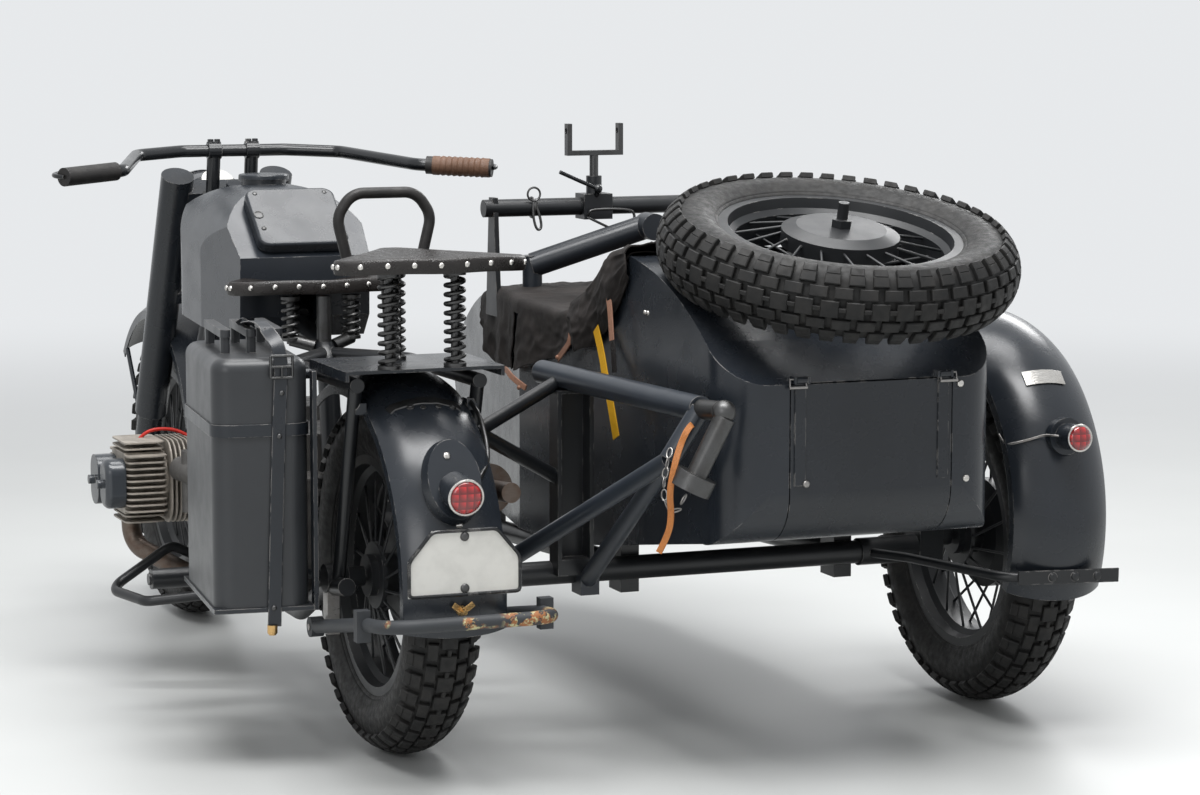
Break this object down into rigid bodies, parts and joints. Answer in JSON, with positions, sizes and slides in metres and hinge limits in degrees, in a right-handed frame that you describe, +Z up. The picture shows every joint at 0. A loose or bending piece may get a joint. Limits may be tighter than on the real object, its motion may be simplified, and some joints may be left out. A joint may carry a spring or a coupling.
{
  "type": "sidecar motorcycle",
  "caption": "Grey shaft-driven flat-twin motorcycle with spoked wheels and a hollow sidecar carrying a flat spare wheel, tow frame, fuel can and a front rail with a turning fork head.",
  "frame": {"origin": "point on the floor under the middle of the whole outline", "axes": "+X to the sidecar side, +Y forward, +Z up"},
  "size_m": [1.719, 2.3994, 1.087],
  "materials": {
    "grey_paint": "satin dark grey paint, lightly scuffed",
    "dark_paint": "dark grey to black paint worn at the edges",
    "alloy": "cast, warm grey",
    "gloss_enamel": "gloss",
    "burnt_steel": "heat-stained",
    "bare_steel": "worn bare steel",
    "leather": "dark riveted leather",
    "canvas": "faded grey-brown canvas",
    "plate_white": "white enamel with a black border",
    "grip_rubber": "worn rubber",
    "tyre_rubber": "dusty block tread"
  },
  "bodies": {
    "machine": {"frame": "dark_paint", "engine_case": "alloy", "left_cylinder": "alloy", "right_cylinder": "alloy", "valve_covers": "gloss_enamel", "carburettors": "alloy", "exhaust": "burnt_steel", "axle_drive": "alloy", "foot_gear": "dark_paint", "fuel_tank": "grey_paint", "filler_cap": "gloss_enamel", "front_saddle": "leather", "rear_saddle": "leather", "saddle_springs": "dark_paint", "hoop_handle": "dark_paint", "rear_mudguard": "grey_paint", "rack_plate": "dark_paint", "tail_lamp": "grey_paint", "number_plate": "plate_white", "stand_pins": "dark_paint", "fuel_can": "grey_paint", "can_rack": "dark_paint", "can_straps": "dark_paint", "sidecar_frame": "dark_paint", "tow_frame": "grey_paint", "tow_coupling": "bare_steel", "sidecar_body": "grey_paint", "sidecar_seat": "canvas", "canvas_cover": "canvas", "sidecar_mudguard": "grey_paint", "mudguard_carrier": "dark_paint", "sidecar_lamp": "grey_paint", "spare_stud": "dark_paint", "spare_wheel": "dark_paint", "spare_tyre": "tyre_rubber", "front_rail": "grey_paint", "yoke_clamp": "grey_paint", "arm_post": "grey_paint"},
    "steering": {"fork_legs": "grey_paint", "handlebar": "dark_paint", "grips": "grip_rubber", "head_lamp": "grey_paint", "front_mudguard": "grey_paint"},
    "front_wheel": {"front_wheel": "dark_paint", "front_tyre": "tyre_rubber"},
    "rear_wheel": {"rear_wheel": "dark_paint", "rear_tyre": "tyre_rubber"},
    "sidecar_wheel": {"sidecar_wheel": "dark_paint", "sidecar_tyre": "tyre_rubber"},
    "rear_stand": {"rear_stand": "dark_paint"},
    "toolbox_lid": {"toolbox_lid": "grey_paint"},
    "trunk_lid": {"trunk_lid": "grey_paint"},
    "yoke": {"yoke": "grey_paint"},
    "swivel_arm": {"swivel_arm": "grey_paint"}
  },
  "joints": [
    {"name": "steering_turn", "type": "hinge", "parent": "machine", "child": "steering", "pos_m": [-0.4165, 0.82504, 0.29476], "axis": [0, -0.454, 0.891], "range_deg": [-33, 33]},
    {"name": "front_wheel_spin", "type": "hinge", "parent": "steering", "child": "front_wheel", "pos_m": [-0.4165, 0.8785, 0.322], "axis": [1, 0, 0], "continuous": true},
    {"name": "rear_wheel_spin", "type": "hinge", "parent": "machine", "child": "rear_wheel", "pos_m": [-0.4165, -0.5655, 0.322], "axis": [1, 0, 0], "continuous": true},
    {"name": "sidecar_wheel_spin", "type": "hinge", "parent": "machine", "child": "sidecar_wheel", "pos_m": [0.7635, -0.5435, 0.322], "axis": [1, 0, 0], "continuous": true},
    {"name": "rear_stand_fold", "type": "hinge", "parent": "machine", "child": "rear_stand", "pos_m": [-0.4165, -0.5655, 0.236], "axis": [1, 0, 0], "range_deg": [0, 36]},
    {"name": "toolbox_lid_hinge", "type": "hinge", "parent": "machine", "child": "toolbox_lid", "pos_m": [-0.4165, 0.1064, 0.9632], "axis": [-1, 0, 0], "range_deg": [0, 100]},
    {"name": "trunk_lid_hinge", "type": "hinge", "parent": "machine", "child": "trunk_lid", "pos_m": [0.2855, -1.0705, 0.702], "axis": [-1, 0, 0], "range_deg": [0, 80]},
    {"name": "yoke_turn", "type": "hinge", "parent": "machine", "child": "yoke", "pos_m": [0.2645, 0.1945, 0.958], "axis": [0, 0, 1], "range_deg": [-90, 90]},
    {"name": "swivel_arm_turn", "type": "hinge", "parent": "machine", "child": "swivel_arm", "pos_m": [0.1035, 0.1245, 0.79], "axis": [0, 0, 1], "range_deg": [-60, 15]}
  ]
}
